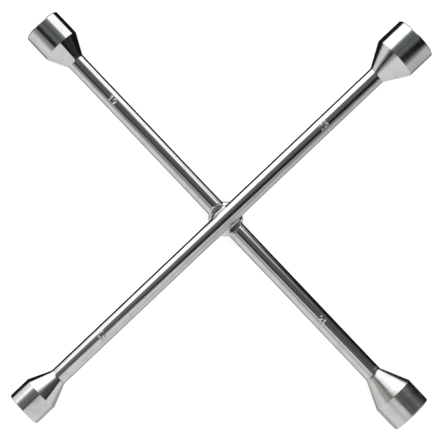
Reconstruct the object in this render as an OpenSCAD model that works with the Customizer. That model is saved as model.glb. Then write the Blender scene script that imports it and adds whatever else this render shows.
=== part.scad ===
// Four-way lug wrench: two round bars crossing at right angles, a hexagon socket on each end.
// Millimetres. +X runs along the front (upper) bar to its 23 mm socket, +Y along the rear
// (lower) bar to its 19 mm socket, +Z up. The origin is the centre of the underside of the box
// that just holds the whole wrench.

/* [Bars] */
// Diameter of both round bars
bar_d = 14; // [12:0.5:16]
// Length of either bar with its sockets, mouth to mouth
span = 406; // [300:1:500]
// Distance from the middle of the front bar to the crossing, towards the 23 mm socket
front_shift = 5; // [-10:0.5:10]
// Distance from the middle of the rear bar to the crossing, towards the 19 mm socket
rear_shift = 0; // [-10:0.5:10]

/* [Crossing] */
// Diameter of the round pad that the rear bar is pressed into under the front bar
pad_d = 26.2; // [22:0.2:30]
// Thickness of the pad
pad_t = 8; // [7:0.5:9]
// How deep the front bar is bedded into the pad
saddle_depth = 1; // [0.5:0.1:1.5]
// Radius of the round flats pressed into the rear bar, above and below
shoulder = 10.4; // [10:0.1:11.5]
// How far the shoulder round each flat slopes outwards, up to the top of the bar
shoulder_slope = 1.5; // [1:0.1:2.5]
// Radius of the weld bead on each side of the front bar
bead_r = 2.6; // [2.4:0.1:3.2]
// Length of each weld bead over its rounded ends
bead_l = 13.5; // [10:0.5:18]
// How far the middle of each bead lies from the crossing, towards the 23 mm socket
bead_shift = 1; // [0:0.5:2]

/* [Socket 17 mm] */
// Width across the flats of the nut it fits
size_17 = 17; // [16:1:18]
// Outside diameter
outer_17 = 29.2; // [27:0.1:33]
// Length of the straight part
body_17 = 18; // [16:0.1:24]
// Length of the taper down to the bar
taper_17 = 17.2; // [16:0.1:24]

/* [Socket 19 mm] */
// Width across the flats of the nut it fits
size_19 = 19; // [18:1:20]
// Outside diameter
outer_19 = 30.5; // [28.4:0.1:34]
// Length of the straight part
body_19 = 22; // [16:0.1:24]
// Length of the taper down to the bar
taper_19 = 15.7; // [15:0.1:24]

/* [Socket 21 mm] */
// Width across the flats of the nut it fits
size_21 = 21; // [20:1:22]
// Outside diameter
outer_21 = 33.5; // [31:0.1:37]
// Length of the straight part
body_21 = 20.4; // [16:0.1:24]
// Length of the taper down to the bar
taper_21 = 21.1; // [16:0.1:24]

/* [Socket 23 mm] */
// Width across the flats of the nut it fits
size_23 = 23; // [22:1:24]
// Outside diameter
outer_23 = 35.6; // [33.2:0.1:39]
// Length of the straight part
body_23 = 22.8; // [16:0.1:26]
// Length of the taper down to the bar
taper_23 = 18.4; // [16:0.1:24]

/* [Socket details] */
// Clearance of the hexagon over the nut's width
hex_clearance = 0.2; // [0.1:0.05:0.3]
// Solid ring left between the bottom of the hexagon and the start of the taper
hex_margin = 1.5; // [1:0.5:3]
// Depth of the round stud bore behind the hexagon
stud_depth = 7.5; // [6:0.5:8]
// Difference between the nut's width and the diameter of the stud bore
stud_step = 3.5; // [3:0.5:5]
// Chamfer on the outside edge of the mouth
rim_chamfer = 0.8; // [0.4:0.1:1.2]
// Depth of the lead-in cone at the mouth of the hexagon
lead_in = 1.2; // [0.6:0.1:1.8]
// How far the lead-in cone reaches past the hexagon's corners
lead_in_lip = 0.3; // [0.1:0.1:0.5]

/* [Socket welds] */
// Straight neck of each socket between its taper and the weld
neck = 2.5; // [2:0.5:4]
// Depth of the weld groove
groove_depth = 2.2; // [1.5:0.1:3]
// Half the width of the weld groove at the surface
groove_half = 1.6; // [1:0.1:1.8]

/* [Hidden] */
$fn = 96;
chrome = "gainsboro";
weld_metal = "silver";

bar_r = bar_d / 2;
pad_r = pad_d / 2;
axis_gap = pad_t / 2 + bar_r - saddle_depth;

// Socket sizes: nut width, outside diameter, straight length, taper length.
SOCKET_17 = [size_17, outer_17, body_17, taper_17];
SOCKET_19 = [size_19, outer_19, body_19, taper_19];
SOCKET_21 = [size_21, outer_21, body_21, taper_21];
SOCKET_23 = [size_23, outer_23, body_23, taper_23];
function socket_length(s) = neck + s[3] + s[2];

// Arm lengths from the crossing to each mouth.
arm_17 = span / 2 + front_shift;
arm_23 = span / 2 - front_shift;
arm_19 = span / 2 - rear_shift;
arm_21 = span / 2 + rear_shift;

// The crossing, at the height of the rear bar's axis.
crossing = [(arm_17 - arm_23) / 2, (arm_21 - arm_19) / 2, max(outer_19, outer_21) / 2];

// Places an arm that is drawn along +Z so that it runs out of the crossing.
module along_front(angle) translate(crossing + [0, 0, axis_gap]) rotate([0, 90, angle]) children();
module along_rear(angle) translate(crossing) rotate([0, 90, angle]) children();

// ---- Bars ----------------------------------------------------------------------------------

// Round bar from -below to +above on Z, its ends chamfered for the weld grooves.
module round_bar(below, above) {
    rotate_extrude()
        polygon([[0, -below], [bar_r - groove_depth, -below], [bar_r, groove_half - below],
                 [bar_r, above - groove_half], [bar_r - groove_depth, above], [0, above]]);
}

module front_bar_solid() {
    along_front(0) round_bar(arm_17 - socket_length(SOCKET_17), arm_23 - socket_length(SOCKET_23));
}

// Round die that presses one side of the bar flat, with a sloping shoulder round the flat.
module press_die() {
    rise = bar_r - pad_t / 2;
    steepness = shoulder_slope / rise;
    translate([0, 0, pad_t / 2])
        cylinder(r1 = shoulder, r2 = shoulder + steepness * (rise + 1), h = rise + 1);
}

// Round pad with a fully rounded rim.
module pad() {
    cylinder(r = pad_r - pad_t / 2, h = pad_t, center = true);
    rotate_extrude() translate([pad_r - pad_t / 2, 0]) circle(d = pad_t);
}

module rear_bar_solid() {
    difference() {
        union() {
            difference() {
                along_rear(90)
                    round_bar(arm_21 - socket_length(SOCKET_21), arm_19 - socket_length(SOCKET_19));
                translate(crossing) press_die();
                translate(crossing) mirror([0, 0, 1]) press_die();
            }
            translate(crossing) pad();
        }
        along_front(0) cylinder(r = bar_r, h = 2 * pad_d, center = true);
    }
}

module front_bar() color(chrome) front_bar_solid();
module rear_bar() color(chrome) rear_bar_solid();

// ---- Sockets -------------------------------------------------------------------------------

// Socket along +Z: neck face at 0, mouth at its full length.
module socket(s) {
    mouth = socket_length(s);
    outer_r = s[1] / 2;
    flat_r = (s[0] + hex_clearance) / 2;
    hex_r = flat_r / cos(30);
    hex_bottom = neck + s[3] + hex_margin;
    stud_r = (s[0] - stud_step) / 2;
    stud_bottom = hex_bottom - stud_depth;
    lead_in_slope = (hex_r + lead_in_lip - flat_r) / lead_in;
    difference() {
        rotate_extrude()
            polygon([[0, 0], [bar_r - groove_depth, 0], [bar_r, groove_half], [bar_r, neck],
                     [outer_r, neck + s[3]], [outer_r, mouth - rim_chamfer],
                     [outer_r - rim_chamfer, mouth], [0, mouth]]);
        translate([0, 0, hex_bottom]) cylinder(r = hex_r, h = mouth, $fn = 6);
        translate([0, 0, stud_bottom]) cylinder(r = stud_r, h = mouth);
        translate([0, 0, mouth - lead_in])
            cylinder(r1 = flat_r, r2 = flat_r + lead_in_slope * (lead_in + 1), h = lead_in + 1);
    }
}

module socket_17mm() color(chrome)
    along_front(180) translate([0, 0, arm_17 - socket_length(SOCKET_17)]) socket(SOCKET_17);

module socket_19mm() color(chrome)
    along_rear(90) translate([0, 0, arm_19 - socket_length(SOCKET_19)]) socket(SOCKET_19);

module socket_21mm() color(chrome)
    along_rear(-90) translate([0, 0, arm_21 - socket_length(SOCKET_21)]) socket(SOCKET_21);

module socket_23mm() color(chrome)
    along_front(0) translate([0, 0, arm_23 - socket_length(SOCKET_23)]) socket(SOCKET_23);

// ---- Welds ---------------------------------------------------------------------------------

// Weld metal that fills the groove between a bar and a socket, ground flush with the bar.
module groove_weld() {
    rotate_extrude()
        polygon([[bar_r - groove_depth, 0], [bar_r, -groove_half], [bar_r, groove_half]]);
}

module socket_weld_17() color(weld_metal)
    along_front(180) translate([0, 0, arm_17 - socket_length(SOCKET_17)]) groove_weld();

module socket_weld_19() color(weld_metal)
    along_rear(90) translate([0, 0, arm_19 - socket_length(SOCKET_19)]) groove_weld();

module socket_weld_21() color(weld_metal)
    along_rear(-90) translate([0, 0, arm_21 - socket_length(SOCKET_21)]) groove_weld();

module socket_weld_23() color(weld_metal)
    along_front(0) translate([0, 0, arm_23 - socket_length(SOCKET_23)]) groove_weld();

// Round-ended bead in the corner between the front bar and the pad, on the +Y or -Y side.
module centre_bead(side) {
    bead_y = bar_r - 1;
    bead_z = pad_t / 2 + bead_r / 2;
    straight = bead_l - 2 * bead_r;
    difference() {
        translate(crossing + [bead_shift, side * bead_y, bead_z])
            rotate([0, 90, 0]) {
                cylinder(r = bead_r, h = straight, center = true);
                for (end = [-1, 1])
                    translate([0, 0, end * straight / 2]) sphere(r = bead_r);
            }
        front_bar_solid();
        rear_bar_solid();
    }
}

module centre_weld_19_side() color(weld_metal) centre_bead(1);
module centre_weld_21_side() color(weld_metal) centre_bead(-1);

front_bar();
rear_bar();
socket_17mm();
socket_19mm();
socket_21mm();
socket_23mm();
socket_weld_17();
socket_weld_19();
socket_weld_21();
socket_weld_23();
centre_weld_19_side();
centre_weld_21_side();
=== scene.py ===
"""Four-way lug wrench, bright chrome plate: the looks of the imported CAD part.

Lengths are written in millimetres and meshes are built in metres, in the CAD model's frame: the
front bar runs along X, the rear bar along Y, Z is up.
"""

import math

import bpy
import numpy as np
from mathutils import Matrix, Vector


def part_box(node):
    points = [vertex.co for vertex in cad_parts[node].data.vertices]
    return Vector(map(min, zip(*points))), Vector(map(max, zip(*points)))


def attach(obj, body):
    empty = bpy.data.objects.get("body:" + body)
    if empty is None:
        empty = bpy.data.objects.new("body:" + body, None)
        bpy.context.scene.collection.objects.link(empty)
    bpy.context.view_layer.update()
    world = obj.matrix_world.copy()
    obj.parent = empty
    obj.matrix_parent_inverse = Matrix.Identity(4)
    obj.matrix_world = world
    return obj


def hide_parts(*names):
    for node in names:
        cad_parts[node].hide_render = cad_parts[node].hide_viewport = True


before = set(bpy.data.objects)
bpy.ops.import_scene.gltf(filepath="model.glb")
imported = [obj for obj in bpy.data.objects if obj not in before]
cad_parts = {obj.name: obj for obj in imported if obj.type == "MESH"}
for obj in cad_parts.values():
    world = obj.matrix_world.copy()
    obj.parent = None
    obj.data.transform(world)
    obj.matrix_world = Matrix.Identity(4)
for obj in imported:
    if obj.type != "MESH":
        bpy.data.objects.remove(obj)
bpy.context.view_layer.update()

MM = 0.001

# ---- Design sizes, as in the CAD model (millimetres) -----------------------------------------

BAR_R = 7.0
PAD_R = 13.1
PAD_HALF = 4.0
SHOULDER = 10.4
SHOULDER_SLOPE = 1.5
SHOULDER_ROUND = 1.1
GROOVE_DEPTH = 2.2
GROOVE_HALF = 1.6
NECK = 2.5
HEX_CLEARANCE = 0.2
HEX_MARGIN = 1.5
STUD_DEPTH = 7.5
STUD_STEP = 3.5
RIM_CHAMFER = 0.8
LEAD_IN = 1.2
LEAD_IN_LIP = 0.3
BEAD_R = 2.6
BEAD_LENGTH = 13.5
BEAD_SHIFT = 1.0

# Nut size: (straight length, taper length). The arm and diameter come from the CAD node's box.
SOCKETS = {17: (18.0, 17.2), 19: (22.0, 15.7), 21: (20.4, 21.1), 23: (22.8, 18.4)}


def node_box(name):
    """Lowest and highest corner of a CAD node, in millimetres."""
    low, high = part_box(name)
    return np.array(low) / MM, np.array(high) / MM


front_low, front_high = node_box("front_bar")
rear_low, rear_high = node_box("rear_bar")
CROSS_X = (rear_low[0] + rear_high[0]) / 2
CROSS_Y = (front_low[1] + front_high[1]) / 2
FRONT_Z = (front_low[2] + front_high[2]) / 2
rear_socket_low, rear_socket_high = node_box("socket_21mm")
REAR_Z = (rear_socket_low[2] + rear_socket_high[2]) / 2
AXIS_GAP = FRONT_Z - REAR_Z

# ---- Mesh helpers ----------------------------------------------------------------------------


def smoothstep(x, low, high):
    """0 below low, 1 above high, smooth between."""
    t = np.clip((x - low) / (high - low), 0.0, 1.0)
    return t * t * (3 - 2 * t)


def smooth_min(a, b, radius):
    """The smaller of a and b, with the corner between them rounded."""
    h = np.clip(0.5 + 0.5 * (b - a) / radius, 0.0, 1.0)
    return b + (a - b) * h - radius * h * (1 - h)


def smooth_max(a, b, radius):
    """The larger of a and b, with the corner between them rounded."""
    return -smooth_min(-a, -b, radius)


def stations(low, high, step, fine=()):
    """Sorted positions from low to high, a step apart; fine holds (start, end, step) stretches."""
    values = list(np.linspace(low, high, max(2, int(round((high - low) / step)) + 1)))
    for start, end, small in fine:
        values = [v for v in values if not start <= v <= end]
        values += list(np.linspace(start, end, int(round((end - start) / small)) + 1))
    return np.array(sorted(values))


def add_object(name, vertices, faces, materials):
    """Mesh object from vertices in millimetres, shaded smooth except across sharp edges."""
    mesh = bpy.data.meshes.new(name)
    mesh.from_pydata((np.asarray(vertices) * MM).tolist(), [], faces)
    mesh.validate()
    for material in materials:
        mesh.materials.append(material)
    mesh.polygons.foreach_set("use_smooth", [True] * len(mesh.polygons))
    mesh.update()
    mesh.set_sharp_from_angle(angle=math.radians(34))
    made = bpy.data.objects.new(name, mesh)
    bpy.context.scene.collection.objects.link(made)
    return made


def tube_faces(rings, sides, loop=False):
    """Quads between rings of vertices; loop joins the last ring to the first."""
    faces = []
    for i in range(rings if loop else rings - 1):
        a, b = i * sides, ((i + 1) % rings) * sides
        for j in range(sides):
            k = (j + 1) % sides
            faces.append((a + j, a + k, b + k, b + j))
    return faces


def tube_with_caps(name, points, materials):
    """Closed mesh from points[ring][side], with a flat cap at either end."""
    rings, sides = points.shape[:2]
    faces = tube_faces(rings, sides)
    faces.append(tuple(reversed(range(sides))))
    faces.append(tuple(range((rings - 1) * sides, rings * sides)))
    return add_object(name, points.reshape(-1, 3), faces, materials)


def arm_frame(direction):
    """Axes of an arm that points along direction (a unit vector in the XY plane): along, side, up."""
    along = np.array([direction[0], direction[1], 0.0])
    up = np.array([0.0, 0.0, 1.0])
    return along, np.cross(up, along), up


def around_arm(profile, angle, along, centre):
    """Rings of points round an arm; profile holds each ring's distance along the arm and radius."""
    axis, side, up = arm_frame(along)
    rings = []
    for distance, radius in profile:
        distance = np.broadcast_to(distance, angle.shape)[:, None]
        across = (radius * np.sin(angle))[:, None]
        height = (radius * np.cos(angle))[:, None]
        rings.append(centre + distance * axis + across * side + height * up)
    return np.array(rings)


def fillet_profile(corners, arc_steps=4, support=0.05):
    """Points along a profile. corners holds (along, radius, fillet radius) for each corner."""
    points = [np.array(corners[0][:2], float)]
    for before, here, after in zip(corners, corners[1:], corners[2:]):
        corner = np.array(here[:2], float)
        to_before = np.array(before[:2], float) - corner
        to_after = np.array(after[:2], float) - corner
        to_before /= np.linalg.norm(to_before)
        to_after /= np.linalg.norm(to_after)
        half = math.acos(np.clip(to_before @ to_after, -1, 1)) / 2
        reach = here[2] / math.tan(half)
        start, end = corner + to_before * reach, corner + to_after * reach
        points.append(corner + to_before * (reach + support))
        inwards = (to_before + to_after) / np.linalg.norm(to_before + to_after)
        centre = corner + inwards * here[2] / math.sin(half)
        a, b = start - centre, end - centre
        turn = math.atan2(a[0] * b[1] - a[1] * b[0], a @ b)
        for i in range(arc_steps + 1):
            c, s = math.cos(turn * i / arc_steps), math.sin(turn * i / arc_steps)
            points.append(centre + np.array([c * a[0] - s * a[1], s * a[0] + c * a[1]]))
        points.append(corner + to_after * (reach + support))
    points.append(np.array(corners[-1][:2], float))
    return np.array(points)


# ---- Numerals, stamped into the bars ---------------------------------------------------------


def arc(middle, width, height, start, end, count):
    """Points on an ellipse, width and height from its middle, from angle start to angle end."""
    return [(middle[0] + width * math.cos(a), middle[1] + height * math.sin(a))
            for a in np.linspace(start, end, count)]


ARC_TOP = arc((0.3, 0.73), 0.27, 0.25, 2.6, -1.35, 9)
RING_TOP = arc((0.3, 0.7), 0.26, 0.28, 0, 2 * math.pi, 13)
ARC_LOW = arc((0.28, 0.27), 0.3, 0.26, 1.35, -2.6, 9)

# Strokes of each numeral in a box 0.6 wide and 1 high, as lines of points.
NUMERALS = {
    "1": [[(0.12, 0.78), (0.34, 1.0), (0.34, 0.0)]],
    "2": [ARC_TOP[:7] + [(0.04, 0.0), (0.58, 0.0)]],
    "3": [ARC_TOP, ARC_LOW],
    "7": [[(0.02, 1.0), (0.58, 1.0), (0.22, 0.0)]],
    "9": [RING_TOP, [(0.56, 0.7), (0.5, 0.25), (0.3, 0.02), (0.08, 0.06)]],
}
STAMP_HEIGHT = 4.6
STAMP_PITCH = 3.6
STAMP_DEPTH = 0.22
STROKE = 0.76
# Distance of each socket's size mark from the crossing.
STAMP_PLACE = {17: 127.5, 19: 124.0, 21: 105.0, 23: 101.0}
REAR_STAMP_ANGLE = math.radians(-3)


def distance_to_line(x, y, a, b):
    """Distance of each point (x, y) from the straight line between a and b."""
    dx, dy = b[0] - a[0], b[1] - a[1]
    t = np.clip(((x - a[0]) * dx + (y - a[1]) * dy) / (dx * dx + dy * dy), 0, 1)
    return np.hypot(x - a[0] - t * dx, y - a[1] - t * dy)


def stamp_relief(x, y, text):
    """Height of the surface at (x, y) millimetres from the middle of a stamped text."""
    nearest = np.full(np.shape(x), 1e3)
    for index, numeral in enumerate(text):
        left = (index - len(text) / 2) * STAMP_PITCH + (STAMP_PITCH - 0.6 * STAMP_HEIGHT) / 2
        for line in NUMERALS[numeral]:
            spots = [(left + px * STAMP_HEIGHT, (py - 0.5) * STAMP_HEIGHT) for px, py in line]
            for a, b in zip(spots, spots[1:]):
                nearest = np.minimum(nearest, distance_to_line(x, y, a, b))
    groove = -STAMP_DEPTH * (1 - smoothstep(nearest, -0.05, STROKE / 2))
    burr = 0.05 * np.exp(-(((nearest - STROKE / 2 - 0.1) / 0.14) ** 2))
    return groove + burr


# ---- Bars ------------------------------------------------------------------------------------

# Height of the finely meshed patch for the numerals, measured round the bar.
STAMP_REACH = 5.8
# Mesh steps along a bar: in general, at the numerals, at the ends and at the crossing.
RING_STEP = 2.5
STAMP_STEP = 0.13
END_STEP = 0.2
CROSSING_STEP = 0.25
# Length of the finely meshed stretch at the crossing, to either side of the rear bar's middle.
CROSSING_REACH = 15.0
# Rounding between the pad and the bar, and the play between the pad's saddle and the front bar.
PAD_BLEND = 0.5
SADDLE_PLAY = 0.02
# Steps of the search for the pad's surface, each of which halves the error.
HALVINGS = 36


def bar_end_radius(s, low, high):
    """Radius of a round bar at s, with the chamfer for the weld groove at either end."""
    inset = np.minimum(s - low, high - s)
    return BAR_R - GROOVE_DEPTH * np.clip(1 - inset / GROOVE_HALF, 0, 1)


def polish_waves(s, angle, end, seed):
    """Very shallow unevenness left by polishing by hand, fading out near the bar's ends."""
    waves = 0.006 * np.sin(s / 6.1 + 2.3 * seed + 0.6 * np.sin(2 * angle))
    waves += 0.009 * np.sin(s / 13.7 + 1.1 * seed + np.sin(angle + seed))
    waves += 0.003 * np.sin(s / 2.9 + 4.1 * seed + 1.5 * np.cos(3 * angle))
    return waves * smoothstep(end - np.abs(s), 2, 9)


def bar_angles(stamp_angle, side_step):
    """Angles round a bar, finer where the numerals and the pad's rim are."""
    reach = STAMP_REACH / 2 / BAR_R + 0.02
    fine = [(stamp_angle - reach, stamp_angle + reach, STAMP_STEP / BAR_R)]
    if side_step:
        half = math.radians(30)
        fine += [(math.pi / 2 - half, math.pi / 2 + half, side_step)]
        fine += [(-math.pi / 2 - half, -math.pi / 2 + half, side_step)]
    return stations(-math.pi, math.pi, math.radians(3.6), fine)[:-1]


def stamped(s, angle, stamps):
    """Height that the stamps add at each (s, angle); stamps holds (text, s, angle, reading way)."""
    relief = np.zeros(np.shape(s))
    for text, place, centre, way in stamps:
        relief += stamp_relief((s - place) * way, (angle - centre) * BAR_R * -way, text)
    return relief


def fine_stations(stamps, low, high):
    """Finely meshed stretches of a bar: at its stamps and at both ends."""
    half = STAMP_PITCH + 0.6
    fine = [(place - half, place + half, STAMP_STEP) for _, place, _, _ in stamps]
    return fine + [(low, low + 2, END_STEP), (high - 2, high, END_STEP)]


def make_front_bar(material, stamps):
    """Round bar along X, which runs over the crossing unbroken."""
    low, high = front_low[0], front_high[0]
    s = stations(low, high, RING_STEP, fine_stations(stamps, low, high))
    angle = bar_angles(stamps[0][2], 0)
    s, angle = np.meshgrid(s, angle, indexing="ij")
    radius = bar_end_radius(s, low, high) + polish_waves(s, angle, high, 1)
    radius = radius + stamped(s, angle, stamps)
    y = CROSS_Y - radius * np.sin(angle)
    points = np.stack([s, y, FRONT_Z + radius * np.cos(angle)], axis=-1)
    return tube_with_caps("front_bar_chrome", points, [material])


def pad_and_bar(x, y, z):
    """Signed distance, roughly, to the rear bar pressed into its pad; the crossing is the origin."""
    plan = np.hypot(x, y)
    steepness = (BAR_R - PAD_HALF) / SHOULDER_SLOPE
    flat = (np.abs(z) - PAD_HALF - steepness * np.maximum(plan - SHOULDER, 0)) / math.hypot(1, steepness)
    pressed = smooth_max(np.hypot(x, z) - BAR_R, flat, SHOULDER_ROUND)
    pad = np.hypot(np.maximum(plan - PAD_R + PAD_HALF, 0), z) - PAD_HALF
    saddle = BAR_R + SADDLE_PLAY - np.hypot(y, z - AXIS_GAP)
    return np.maximum(smooth_min(pressed, pad, PAD_BLEND), saddle)


def pad_radius(y, angle):
    """Distance from the rear bar's axis to the surface of the pad and bar near the crossing."""
    inside, outside = np.zeros(np.shape(y)), np.full(np.shape(y), PAD_R + 1)
    for _ in range(HALVINGS):
        middle = (inside + outside) / 2
        solid = pad_and_bar(middle * np.sin(angle), y, middle * np.cos(angle)) < 0
        inside, outside = np.where(solid, middle, inside), np.where(solid, outside, middle)
    return inside


def make_rear_bar(material, stamps):
    """Bar along Y, pressed out into the pad at the crossing."""
    low, high = rear_low[1], rear_high[1]
    fine = fine_stations(stamps, low, high) + [(-CROSSING_REACH, CROSSING_REACH, CROSSING_STEP)]
    s = stations(low, high, RING_STEP, fine)
    angle = bar_angles(stamps[0][2], math.radians(1.6))
    s, angle = np.meshgrid(s, angle, indexing="ij")
    near = pad_radius(s - CROSS_Y, angle)
    far = bar_end_radius(s, low, high) + polish_waves(s, angle, high, 2)
    share = smoothstep(np.abs(s - CROSS_Y), PAD_R, PAD_R + 1.5)
    radius = near * (1 - share) + far * share + stamped(s, angle, stamps)
    x = CROSS_X + radius * np.sin(angle)
    points = np.stack([x, s, REAR_Z + radius * np.cos(angle)], axis=-1)
    return tube_with_caps("rear_bar_chrome", points, [material])


# ---- Sockets ---------------------------------------------------------------------------------

# Straight length left between the weld and the neck fillet.
NECK_PLAIN = 0.1
GROOVE_FILLET = 0.02
CREASE_FILLET = 0.35
RIM_FILLET = 0.2
WELD_CROWN = 0.004
# Rings of the lead-in cone, as shares of the way from the mouth to the hexagon's wall.
LEAD_IN_SHARES = (0.05, 0.5, 0.95)


def hexagon_angles():
    """Angles round a socket, finer at the hexagon's corners; angle 0 is a corner."""
    steps = [0.0, 0.35, 0.7, 1.05, 2.0, 4.5, 8.0, 12.0, 16.5, 21.0, 25.5]
    sector = [60 - a for a in reversed(steps[1:])]
    return np.radians([60 * k + a for k in range(6) for a in steps + [30.0] + sector])


def hexagon_radius(angle, flat_r):
    """Distance from the axis to the wall of the hexagon, its corners slightly rounded."""
    from_corner = (angle + math.pi / 6) % (math.pi / 3) - math.pi / 6
    left = flat_r / np.cos(from_corner - math.pi / 6)
    right = flat_r / np.cos(from_corner + math.pi / 6)
    return smooth_min(left, right, 0.25)


def lip_radius(size):
    """Radius at which the lead-in cone meets the mouth's flat face."""
    return (size + HEX_CLEARANCE) / 2 / math.cos(math.pi / 6) + LEAD_IN_LIP


def socket_outside(size, outer_r, mouth):
    """Outside of a socket from its weld groove to the edge of its hexagon, as (along, radius) points."""
    body, taper = SOCKETS[size]
    neck = mouth - body - taper - NECK
    half_slope = math.atan2(outer_r - BAR_R, taper) / 2
    neck_fillet = (NECK - GROOVE_HALF - NECK_PLAIN) / math.tan(half_slope)
    return fillet_profile([
        (neck, BAR_R - GROOVE_DEPTH, 0),
        (neck + GROOVE_HALF, BAR_R, GROOVE_FILLET),
        (neck + NECK, BAR_R, neck_fillet),
        (neck + NECK + taper, outer_r, CREASE_FILLET),
        (mouth - RIM_CHAMFER, outer_r, RIM_FILLET),
        (mouth, outer_r - RIM_CHAMFER, RIM_FILLET),
        (mouth, lip_radius(size), 0)])


def socket_inside(size, angle, mouth):
    """Lead-in cone, hexagon and stud bore, from the mouth inwards, as (along, radius) rings."""
    flat_r = (size + HEX_CLEARANCE) / 2
    stud_r = (size - STUD_STEP) / 2
    lip_r = lip_radius(size)
    wall = hexagon_radius(angle, flat_r)
    hex_bottom = mouth - SOCKETS[size][0] + HEX_MARGIN
    slope = (lip_r - flat_r) / LEAD_IN
    meet = (lip_r - wall) / slope
    rings = [(mouth - meet * share, lip_r - slope * meet * share) for share in LEAD_IN_SHARES]
    for share in (0.0, 0.03, 0.25, 0.5, 0.75, 0.97, 1.0):
        rings.append(((mouth - meet * 1.05) * (1 - share) + (hex_bottom + 0.05) * share, wall))
    rings += [(hex_bottom, wall * (1 - share) + stud_r * share) for share in (0.02, 0.5, 0.98)]
    for depth in (0.05, 0.3, 2.5, 5.0, STUD_DEPTH - 0.3, STUD_DEPTH - 0.05):
        rings.append((hex_bottom - depth, stud_r))
    rings += [(hex_bottom - STUD_DEPTH, stud_r * share) for share in (0.98, 0.5)]
    return rings


def make_socket(size, along, centre, mouth, materials):
    """Socket whose mouth is mouth millimetres from the crossing, on the axis through centre."""
    low, high = node_box(f"socket_{size}mm")
    angle = hexagon_angles()
    outside = [tuple(point) for point in socket_outside(size, (high[2] - low[2]) / 2, mouth)]
    points = around_arm(outside + socket_inside(size, angle, mouth), angle, along, centre)
    made = tube_with_caps(f"socket_{size}_chrome", points, materials)
    bore_start = (len(outside) + len(LEAD_IN_SHARES) - 1) * len(angle)
    side_faces = len(made.data.polygons) - 2
    indices = [int(face >= bore_start) for face in range(side_faces)]
    made.data.polygons.foreach_set("material_index", indices + [0, 1])
    return made


def make_groove_weld(size, along, centre, mouth, material):
    """Ring of weld metal between a socket's neck and the bar, dressed almost flush."""
    body, taper = SOCKETS[size]
    joint = mouth - body - taper - NECK
    s = np.linspace(-GROOVE_HALF, GROOVE_HALF, 15)
    crown = WELD_CROWN * (1 - (s / GROOVE_HALF) ** 2)
    profile = [(a, BAR_R + c) for a, c in zip(s, crown)] + [(0.0, BAR_R - GROOVE_DEPTH)]
    angle = np.linspace(0, 2 * math.pi, 97)[:-1]
    points = around_arm([(joint + a, r) for a, r in profile], angle, along, centre)
    faces = tube_faces(len(profile), len(angle), loop=True)
    return add_object(f"weld_ring_{size}", points.reshape(-1, 3), faces, [material])


def make_centre_bead(name, side, material):
    """Bead of weld metal in the corner between the front bar and the pad, its ripples dressed smooth."""
    straight = BEAD_LENGTH / 2 - BEAD_R
    turn = np.linspace(-math.pi / 2 + 0.01, math.pi / 2 - 0.01, 25)
    ends = BEAD_R * np.sin(turn)
    middle = np.linspace(-straight, straight, 60)[1:-1]
    s = np.concatenate([ends[:13] - straight, middle, ends[12:] + straight])
    over = np.maximum(np.abs(s) - straight, 0)
    radius = np.sqrt(np.maximum(BEAD_R**2 - over**2, 0))
    ripple = 0.5 + 0.5 * np.cos(2 * math.pi * s / 1.9 + 0.8 * np.sin(s * 0.9 + side))
    radius = radius * (1 - 0.012 * ripple - 0.03 * (0.5 + 0.5 * np.sin(s * 0.75 + 2 * side)))
    angle = np.linspace(0, 2 * math.pi, 49)[:-1]
    s, angle = np.meshgrid(s, angle, indexing="ij")
    x = CROSS_X + BEAD_SHIFT + s
    y = CROSS_Y + side * (BAR_R - 1) + radius[:, None] * np.sin(angle)
    z = REAR_Z + PAD_HALF + BEAD_R / 2 + radius[:, None] * np.cos(angle)
    points = np.stack([x, y, z], axis=-1)
    return tube_with_caps(name, points, [material])


# ---- Node helpers ----------------------------------------------------------------------------


class Num:
    """A number in a node tree; arithmetic on it adds Math nodes."""

    def __init__(self, tree, socket):
        self.tree = tree
        self.socket = socket

    def math(self, operation, *others):
        node = self.tree.nodes.new("ShaderNodeMath")
        node.operation = operation
        for slot, item in zip(node.inputs, (self, *others)):
            feed(self.tree, slot, item)
        return Num(self.tree, node.outputs[0])

    def __add__(self, other):
        return self.math("ADD", other)

    def __sub__(self, other):
        return self.math("SUBTRACT", other)

    def __mul__(self, other):
        return self.math("MULTIPLY", other)

    def __neg__(self):
        return self.math("MULTIPLY", -1.0)

    def step(self, low, high, to_low=0.0, to_high=1.0):
        """Smooth ramp from to_low at low to to_high at high."""
        node = self.tree.nodes.new("ShaderNodeMapRange")
        node.interpolation_type = "SMOOTHSTEP"
        for slot, item in zip(node.inputs, (self, low, high, to_low, to_high)):
            feed(self.tree, slot, item)
        return Num(self.tree, node.outputs[0])


def feed(tree, slot, item):
    """Links a Num or a socket to an input, or sets the input's own value."""
    if isinstance(item, Num):
        item = item.socket
    if isinstance(item, bpy.types.NodeSocket):
        tree.links.new(item, slot)
    else:
        slot.default_value = item


def add_node(tree, kind, **inputs):
    """New node with its inputs fed by name; underscores in a name stand for spaces."""
    node = tree.nodes.new(kind)
    for name, item in inputs.items():
        feed(tree, node.inputs[name.replace("_", " ")], item)
    return node


def mix_colour(tree, share, first, second):
    """The first colour at share 0, the second at share 1."""
    node = tree.nodes.new("ShaderNodeMix")
    node.data_type = "RGBA"
    feed(tree, node.inputs[0], share)
    feed(tree, node.inputs[6], first)
    feed(tree, node.inputs[7], second)
    return node.outputs[2]


def noise(tree, coordinates, stretch, scale, detail=2.0, roughness=0.5):
    """Noise over the piece; stretch scales X, Y and Z, in features per millimetre times scale."""
    mapping = add_node(tree, "ShaderNodeMapping", Vector=coordinates)
    mapping.inputs["Scale"].default_value = [1000 * a for a in stretch]
    node = add_node(tree, "ShaderNodeTexNoise", Vector=mapping.outputs[0], Scale=scale)
    node.inputs["Detail"].default_value = detail
    node.inputs["Roughness"].default_value = roughness
    return Num(tree, node.outputs["Fac"])


# ---- Materials -------------------------------------------------------------------------------

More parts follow.
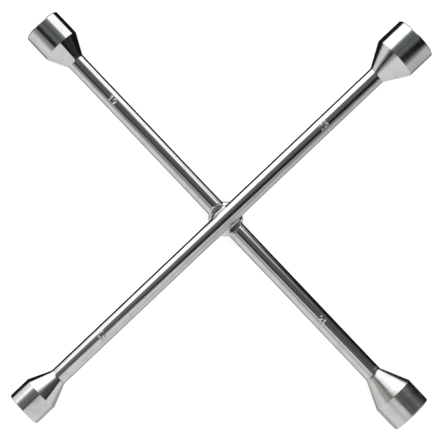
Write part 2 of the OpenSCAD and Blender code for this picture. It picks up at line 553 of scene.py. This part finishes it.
CHROME = (0.60, 0.605, 0.6, 1)
SMUDGED = (0.545, 0.55, 0.545, 1)
BORE_LIGHT = (0.36, 0.35, 0.33, 1)
BORE_DARK = (0.24, 0.225, 0.2, 1)
# Size of each kind of unevenness: a greater scale makes it finer.
SCRATCH_SCALE = 6.0
POLISH_SCALE = 2.2
FACET_SCALE = 0.55
PEEL_SCALE = 0.45
SMUDGE_SCALE = 0.09
PEEL_DEPTH = 0.004
BORE_DEPTH = 0.02
BAR_LINE_DEPTH = 0.0015
TURNED_LINE_DEPTH = 0.0012
WELD_LINE_DEPTH = 0.012
# Stretch of the polishing lines: along a bar, round a socket, or neither.
ALONG_X = (0.02, 1, 1)
ALONG_Y = (1, 0.02, 1)
ROUND_X = (1, 0.04, 0.04)
ROUND_Y = (0.04, 1, 0.04)
EVEN = (1, 1, 1)


def chrome_material(name, lines, line_depth, roughness):
    """Chrome plate. lines scales X, Y and Z so that the polishing lines lie the right way."""
    material = bpy.data.materials.new(name)
    material.use_nodes = True
    tree = material.node_tree
    shader = tree.nodes["Principled BSDF"]
    shader.inputs["Metallic"].default_value = 1.0
    where = tree.nodes.new("ShaderNodeTexCoord").outputs["Object"]
    polish = noise(tree, where, lines, POLISH_SCALE, 3.0, 0.6)
    scratch = noise(tree, where, lines, SCRATCH_SCALE, 2.0, 0.7)
    facets = noise(tree, where, lines, FACET_SCALE, 1.0)
    peel = noise(tree, where, EVEN, PEEL_SCALE, 1.0)
    cloud = noise(tree, where, EVEN, SMUDGE_SCALE, 3.0, 0.55)
    smudge = cloud.step(0.45, 0.7)
    feed(tree, shader.inputs["Base Color"], mix_colour(tree, smudge, CHROME, SMUDGED))
    rough = cloud.step(0.35, 0.75, roughness * 0.85, roughness * 1.3)
    rough = rough + scratch.step(0.62, 0.75, 0.0, 0.05)
    feed(tree, shader.inputs["Roughness"], rough)
    height = polish * line_depth + peel * PEEL_DEPTH + facets * (line_depth * 8)
    height = height + scratch.step(0.66, 0.72, 0.0, -line_depth)
    bump = add_node(tree, "ShaderNodeBump", Height=height * MM, Distance=1.0, Strength=1.0)
    tree.links.new(bump.outputs[0], shader.inputs["Normal"])
    return material


def bore_material(name):
    """Inside of a socket, where little chrome reaches: darker, duller steel."""
    material = bpy.data.materials.new(name)
    material.use_nodes = True
    tree = material.node_tree
    shader = tree.nodes["Principled BSDF"]
    shader.inputs["Metallic"].default_value = 1.0
    where = tree.nodes.new("ShaderNodeTexCoord").outputs["Object"]
    cloud = noise(tree, where, EVEN, 0.35, 4.0, 0.6)
    fine = noise(tree, where, EVEN, 3.0, 3.0, 0.6)
    stain = cloud.step(0.35, 0.65)
    feed(tree, shader.inputs["Base Color"], mix_colour(tree, stain, BORE_LIGHT, BORE_DARK))
    feed(tree, shader.inputs["Roughness"], cloud.step(0.3, 0.7, 0.3, 0.48))
    bump = add_node(tree, "ShaderNodeBump", Height=fine * BORE_DEPTH * MM, Distance=1.0, Strength=1.0)
    tree.links.new(bump.outputs[0], shader.inputs["Normal"])
    return material


# ---- Studio ----------------------------------------------------------------------------------

# The camera looks down from close above, 3 degrees off vertical; its target is off the crossing.
CAMERA_AZIMUTH = math.radians(-43.48)
CAMERA_ELEVATION = math.radians(87.0)
CAMERA_DISTANCE = 1460.6
CAMERA_LENS = 160.56
TARGET_OFFSET = (-3.854, 4.902)

# Half the floor's width, in metres.
FLOOR_REACH = 6.0

BACK = Vector((
    math.sin(CAMERA_AZIMUTH) * math.cos(CAMERA_ELEVATION),
    -math.cos(CAMERA_AZIMUTH) * math.cos(CAMERA_ELEVATION),
    math.sin(CAMERA_ELEVATION)))
RIGHT = Vector((math.cos(CAMERA_AZIMUTH), math.sin(CAMERA_AZIMUTH), 0))
UP = BACK.cross(RIGHT)


def make_camera():
    """Camera of the front view."""
    camera = bpy.data.objects.new("camera", bpy.data.cameras.new("camera"))
    bpy.context.scene.collection.objects.link(camera)
    middle = Vector((CROSS_X + TARGET_OFFSET[0], CROSS_Y + TARGET_OFFSET[1], (FRONT_Z + REAR_Z) / 2))
    turn = Matrix((RIGHT, UP, BACK)).transposed().to_4x4()
    camera.matrix_world = Matrix.Translation((middle + BACK * CAMERA_DISTANCE) * MM) @ turn
    camera.data.sensor_width = 36
    camera.data.lens = CAMERA_LENS
    camera.data.clip_start = 0.05
    camera.data.clip_end = 100
    bpy.context.scene.camera = camera


# Levels of light and colours in the mirrored studio.
PALE_LEVEL = 0.97
BLACK_LEVEL = 0.012
CEILING_LEVEL = 0.18
SOFTBOX_LEFT_LEVEL = 1.85
SOFTBOX_RIGHT_LEVEL = 1.6
ROOM_LEVEL = 1.9
PALE_TINT = (1.0, 1.0, 0.985)
DARK_TINT = (0.95, 1.03, 0.96)
SOFTBOX_TINT = (1.0, 1.0, 1.0)
WALL_FOOT = (0.56, 0.53, 0.49, 1)
WALL_HEAD = (0.78, 0.78, 0.77, 1)

# Edges in the mirrored studio, as ramps in degrees: outside at the first angle, inside at the second.
CEILING_END = (176, 166)
CEILING_LEFT = (-66, -58)
WALL_LEFT = (-72, -62)
WALL_RIGHT = (-44, -50)
WALL_BOTTOM = (-10, 4)
WALL_TOP = (129, 121)
SOFTBOX_LEFT = (-53, -42)
SOFTBOX_TOP = (116, 110)
LEFT_PART = (-12, -20)

# Middle of the softbox's right edge, in degrees.
SOFTBOX_RIGHT = 43.5


def grey(tree, level, tint):
    """Colour of a given level, slightly tinted."""
    node = tree.nodes.new("ShaderNodeCombineColor")
    for slot, part in zip(node.inputs, tint):
        feed(tree, slot, level * part)
    return node.outputs[0]


def dim(level, share):
    """Level with a share of it, from 0 to 1, taken away."""
    return level * (-share + 1.0)


def ray_angles(tree):
    """Tilt and sideways angle of the direction that is mirrored, in degrees.

    tilt is 0 towards the ceiling above the wrench, 90 level towards the top of the front view and 180
    straight down. sideways runs from -90, level to the left of the front view, to 90.
    """
    direction = tree.nodes.new("ShaderNodeTexCoord").outputs["Generated"]

    def part(axis):
        node = add_node(tree, "ShaderNodeVectorMath")
        node.operation = "DOT_PRODUCT"
        tree.links.new(direction, node.inputs[0])
        node.inputs[1].default_value = axis
        return Num(tree, node.outputs["Value"])

    tilt = part(UP).math("ARCTAN2", part(BACK)) * math.degrees(1)
    sideways = part(RIGHT).math("ARCSINE") * math.degrees(1)
    return tilt, sideways


def above_ceiling_edge(tilt, sideways):
    """Degrees above the ceiling's lower edge, which dips to either side of the middle."""
    far_right = (sideways - 45).math("MAXIMUM", 0.0)
    return tilt + (sideways.math("ABSOLUTE") * 0.7 + sideways * 0.09 - far_right * 2.2 + 3.0)


def above_softbox_edge(tilt, sideways):
    """Degrees above the softbox's lower edge, which is lower on the left and then curves up."""
    far_left = (-sideways - 22).math("MAXIMUM", 0.0)
    return tilt - (far_left * far_left * 0.022 + sideways.step(-26, -12, 39.5, 48))


def pale_surroundings(tree, tilt, sideways, rise):
    """Pale all round, dimmer on the right, far below and close under the ceiling."""
    away = sideways.math("ABSOLUTE")
    level = tilt.step(-100, -150, PALE_LEVEL, 0.8)
    level = dim(level, sideways.step(36, 50) * sideways.step(66, 58) * 0.3)
    level = dim(level, tilt.step(-108, -150) * away.step(44, 36) * away.step(18, 25) * 0.6)
    level = dim(level, rise.step(-38, -2, 0.0, 0.7) * sideways.step(31, 39) * sideways.step(62, 56))
    level = dim(level, rise.step(-30, 4, 0.0, 0.68) * sideways.step(-16, -24) * sideways.step(-73, -66))
    return grey(tree, level, PALE_TINT)


def ceiling_area(tilt, sideways, rise):
    """1 on the dark ceiling and 0 off it; its lower edge is higher and sharper on the left."""
    softness = sideways.step(*LEFT_PART, 4.0, 2.0)
    edge = (rise - sideways.step(*LEFT_PART) * 6.0).step(-softness, softness)
    return edge * tilt.step(*CEILING_END) * sideways.step(*CEILING_LEFT)


def ceiling_colour(tree, tilt, sideways, rise, above_box):
    """Dark ceiling, blackest along its lower edge and beyond the softbox, with a glow below it."""
    over_right = (sideways - 20).math("MAXIMUM", 0.0)
    sides = sideways.step(*LEFT_PART, 0.0, 4.5) + sideways.step(8, 20, 0.0, 4.5)
    black_end = sides + over_right * 0.4 + 5.0
    grey_start = sides + over_right * 0.8 + 15.5
    level = rise.step(black_end, grey_start, BLACK_LEVEL, CEILING_LEVEL)
    level = (level + sideways.step(40, 55, 0.0, 0.04)) * tilt.step(35, 118, 1.0, 0.08)
    level = level * sideways.step(12, 38, 1.0, 0.6) * sideways.step(-28, -45, 1.0, 0.45)
    level = dim(level, tilt.step(9, 15) * tilt.step(28, 21) * sideways.step(-3, 3) * 0.35)
    glow = above_box.step(-20, -3, 0.0, 0.17) * sideways.step(32, 24) * tilt.step(105, 80)
    return grey(tree, level + glow, DARK_TINT)


def wall_area(tilt, sideways):
    """1 on the wall on the left, 0 off it."""
    across = sideways.step(*WALL_RIGHT) * sideways.step(*WALL_LEFT)
    return across * tilt.step(*WALL_BOTTOM) * tilt.step(*WALL_TOP)


def softbox_area(tilt, sideways, above_box):
    """1 on the softbox, 0 off it; its lower right corner is cut back and its left side is soft."""
    under = (-tilt + 88).math("MAXIMUM", 0.0)
    past_right_edge = sideways + (under * under * 0.004 - SOFTBOX_RIGHT)
    return (above_box.step(-6, 5) * tilt.step(*SOFTBOX_TOP)
            * past_right_edge.step(3, -3) * sideways.step(*SOFTBOX_LEFT))


def studio_reflections(tree):
    """What the chrome mirrors, by direction: pale all round, a dark ceiling, a wall, one long softbox."""
    tilt, sideways = ray_angles(tree)
    rise = above_ceiling_edge(tilt, sideways)
    above_box = above_softbox_edge(tilt, sideways)
    colour = pale_surroundings(tree, tilt, sideways, rise)
    ceiling = ceiling_colour(tree, tilt, sideways, rise, above_box)
    colour = mix_colour(tree, ceiling_area(tilt, sideways, rise), colour, ceiling)
    wall = mix_colour(tree, tilt.step(25, 40), WALL_FOOT, WALL_HEAD)
    colour = mix_colour(tree, wall_area(tilt, sideways), colour, wall)
    glow = grey(tree, sideways.step(-5, 35, SOFTBOX_LEFT_LEVEL, SOFTBOX_RIGHT_LEVEL), SOFTBOX_TINT)
    return mix_colour(tree, softbox_area(tilt, sideways, above_box), colour, glow)


def make_world():
    """Plain white light from all round; shiny surfaces mirror the studio instead."""
    world = bpy.data.worlds.new("studio")
    bpy.context.scene.world = world
    world.use_nodes = True
    world.cycles.sampling_method = "NONE"
    tree = world.node_tree
    tree.nodes.clear()
    mirrored = tree.nodes.new("ShaderNodeLightPath").outputs["Is Glossy Ray"]
    plain = (ROOM_LEVEL, ROOM_LEVEL, ROOM_LEVEL, 1)
    colour = mix_colour(tree, mirrored, plain, studio_reflections(tree))
    background = add_node(tree, "ShaderNodeBackground", Color=colour)
    output = tree.nodes.new("ShaderNodeOutputWorld")
    tree.links.new(background.outputs[0], output.inputs[0])


def make_floor():
    """Pale floor, seen only from above so that the underside can be looked at."""
    corners = [(-FLOOR_REACH, -FLOOR_REACH, 0), (FLOOR_REACH, -FLOOR_REACH, 0),
               (FLOOR_REACH, FLOOR_REACH, 0), (-FLOOR_REACH, FLOOR_REACH, 0)]
    mesh = bpy.data.meshes.new("floor")
    mesh.from_pydata(corners, [], [(0, 1, 2, 3)])
    floor = bpy.data.objects.new("floor", mesh)
    bpy.context.scene.collection.objects.link(floor)
    mesh.materials.append(floor_material())
    floor.visible_glossy = False


def floor_material():
    """Matt and pale on its upper side, clear on its lower side."""
    material = bpy.data.materials.new("pale_floor")
    material.use_nodes = True
    tree = material.node_tree
    shader = tree.nodes["Principled BSDF"]
    shader.inputs["Base Color"].default_value = (0.86, 0.86, 0.86, 1)
    shader.inputs["Roughness"].default_value = 0.9
    shader.inputs["Specular IOR Level"].default_value = 0.0
    clear = tree.nodes.new("ShaderNodeBsdfTransparent")
    underside = tree.nodes.new("ShaderNodeNewGeometry").outputs["Backfacing"]
    mix = tree.nodes.new("ShaderNodeMixShader")
    tree.links.new(underside, mix.inputs[0])
    tree.links.new(shader.outputs[0], mix.inputs[1])
    tree.links.new(clear.outputs[0], mix.inputs[2])
    tree.links.new(mix.outputs[0], tree.nodes["Material Output"].inputs[0])
    return material


# ---- The wrench ------------------------------------------------------------------------------


def place(piece, slot, *nodes):
    """Fixes a piece to the wrench and hides the CAD nodes that it stands for; slot is not used."""
    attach(piece, "root")
    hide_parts(*nodes)


bar_x = chrome_material("chrome_bar_lengthwise_x", ALONG_X, BAR_LINE_DEPTH, 0.075)
bar_y = chrome_material("chrome_bar_lengthwise_y", ALONG_Y, BAR_LINE_DEPTH, 0.075)
turned_17 = chrome_material("chrome_turned_17", ROUND_X, TURNED_LINE_DEPTH, 0.14)
turned_19 = chrome_material("chrome_turned_19", ROUND_Y, TURNED_LINE_DEPTH, 0.09)
turned_21 = chrome_material("chrome_turned_21", ROUND_Y, TURNED_LINE_DEPTH, 0.22)
turned_23 = chrome_material("chrome_turned_23", ROUND_X, TURNED_LINE_DEPTH, 0.12)
weld_plate = chrome_material("chrome_weld", EVEN, WELD_LINE_DEPTH, 0.22)
bore = bore_material("socket_bore")

front_stamps = [("17", CROSS_X - STAMP_PLACE[17], 0.0, 1), ("23", CROSS_X + STAMP_PLACE[23], 0.0, 1)]
rear_stamps = [("19", CROSS_Y + STAMP_PLACE[19], REAR_STAMP_ANGLE, -1),
               ("21", CROSS_Y - STAMP_PLACE[21], REAR_STAMP_ANGLE, -1)]
place(make_front_bar(bar_x, front_stamps), "bar_chrome", "front_bar")
place(make_rear_bar(bar_y, rear_stamps), "bar_chrome", "rear_bar")

front_axis = np.array([CROSS_X, CROSS_Y, FRONT_Z])
rear_axis = np.array([CROSS_X, CROSS_Y, REAR_Z])
ARMS = {17: ((-1, 0), front_axis, turned_17), 23: ((1, 0), front_axis, turned_23),
        19: ((0, 1), rear_axis, turned_19), 21: ((0, -1), rear_axis, turned_21)}

# The weld at each neck is dressed and polished together with its socket.
for size, (along, centre, turned) in ARMS.items():
    low, high = node_box(f"socket_{size}mm")
    mouth = max(abs(low[:2] - centre[:2]).max(), abs(high[:2] - centre[:2]).max())
    place(make_socket(size, along, centre, mouth, [turned, bore]), "socket_chrome", f"socket_{size}mm")
    place(make_groove_weld(size, along, centre, mouth, turned), "weld_chrome", f"socket_weld_{size}")
place(make_centre_bead("weld_bead_19_side", 1, weld_plate), "weld_chrome", "centre_weld_19_side")
place(make_centre_bead("weld_bead_21_side", -1, weld_plate), "weld_chrome", "centre_weld_21_side")

make_camera()
make_world()
make_floor()
bpy.context.scene.view_settings.view_transform = "Standard"
